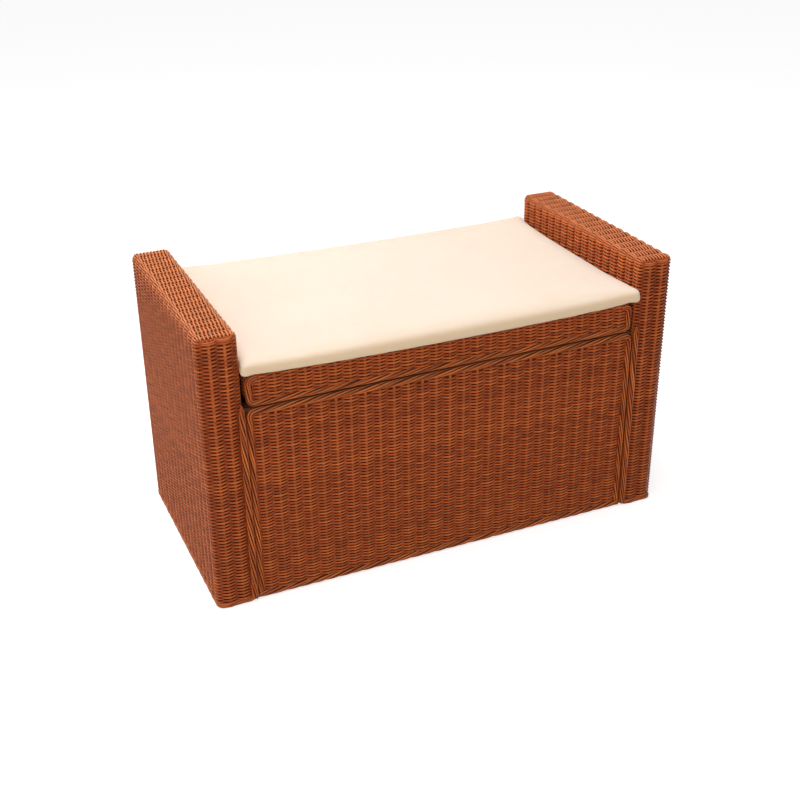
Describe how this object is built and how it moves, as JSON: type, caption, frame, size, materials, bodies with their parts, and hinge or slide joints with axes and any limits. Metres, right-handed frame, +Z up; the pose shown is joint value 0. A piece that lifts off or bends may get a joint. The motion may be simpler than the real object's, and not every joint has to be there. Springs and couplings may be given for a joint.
{
  "type": "storage bench",
  "caption": "Woven rattan storage bench with raised arms, a hinged lid over a deep chest and a loose cream seat cushion.",
  "frame": {"origin": "on the floor, at the middle of the bounding box's footprint", "axes": "+Z up; +X along the bench's width, from the sitter's right arm to the left one as seen from the front; the front faces -Y"},
  "size_m": [0.92, 0.46, 0.528],
  "materials": {
    "rattan_weave": "satin lacquered woven rattan core",
    "rattan_binding": "satin lacquered twisted rattan",
    "rattan_pole": "bare rattan pole",
    "timber": "planed softwood",
    "plywood": "sanded plywood",
    "steel": "zinc plated",
    "cushion_cloth": "plain woven cotton",
    "foam": "open-cell upholstery foam"
  },
  "bodies": {
    "chest": {"back_bottom_rail": "timber", "back_panel_border": "rattan_binding", "back_panel_weave": "rattan_weave", "back_plinth_band": "rattan_binding", "back_top_rail": "timber", "floor_bearer_1": "timber", "floor_bearer_2": "timber", "floor_board": "plywood", "frame_screws": "steel", "front_bottom_rail": "timber", "front_panel_border": "rattan_binding", "front_panel_weave": "rattan_weave", "front_plinth_band": "rattan_binding", "front_top_rail": "timber", "hinge_chest_screws": "steel", "left_arm_back_braid": "rattan_binding", "left_arm_back_inner_post": "rattan_pole", "left_arm_back_outer_post": "rattan_pole", "left_arm_board": "plywood", "left_arm_bottom_hoop": "rattan_pole", "left_arm_front_braid": "rattan_binding", "left_arm_front_inner_post": "rattan_pole", "left_arm_front_outer_post": "rattan_pole", "left_arm_top_hoop": "rattan_pole", "left_arm_weave": "rattan_weave", "left_hinge_chest_leaf": "steel", "left_hinge_pin": "steel", "right_arm_back_braid": "rattan_binding", "right_arm_back_inner_post": "rattan_pole", "right_arm_back_outer_post": "rattan_pole", "right_arm_board": "plywood", "right_arm_bottom_hoop": "rattan_pole", "right_arm_front_braid": "rattan_binding", "right_arm_front_inner_post": "rattan_pole", "right_arm_front_outer_post": "rattan_pole", "right_arm_top_hoop": "rattan_pole", "right_arm_weave": "rattan_weave", "right_hinge_chest_leaf": "steel", "right_hinge_pin": "steel"},
    "lid": {"hinge_lid_screws": "steel", "left_hinge_lid_leaf": "steel", "lid_back_border": "rattan_binding", "lid_back_rail": "timber", "lid_front_border": "rattan_binding", "lid_front_rail": "timber", "lid_left_border": "rattan_binding", "lid_left_rail": "timber", "lid_right_border": "rattan_binding", "lid_right_rail": "timber", "lid_slat_1": "timber", "lid_slat_2": "timber", "lid_slat_3": "timber", "lid_weave": "rattan_weave", "right_hinge_lid_leaf": "steel"},
    "cushion": {"cushion_cover": "cushion_cloth", "cushion_foam": "foam"}
  },
  "joints": [
    {"name": "lid_hinge", "type": "hinge", "parent": "chest", "child": "lid", "pos_m": [0, 0.2248, 0.3845], "axis": [-1, 0, 0], "range_deg": [0, 100]},
    {"name": "cushion_lift", "type": "slide", "parent": "lid", "child": "cushion", "axis": [0, 0, 1], "range_m": [0, 0.2]}
  ]
}
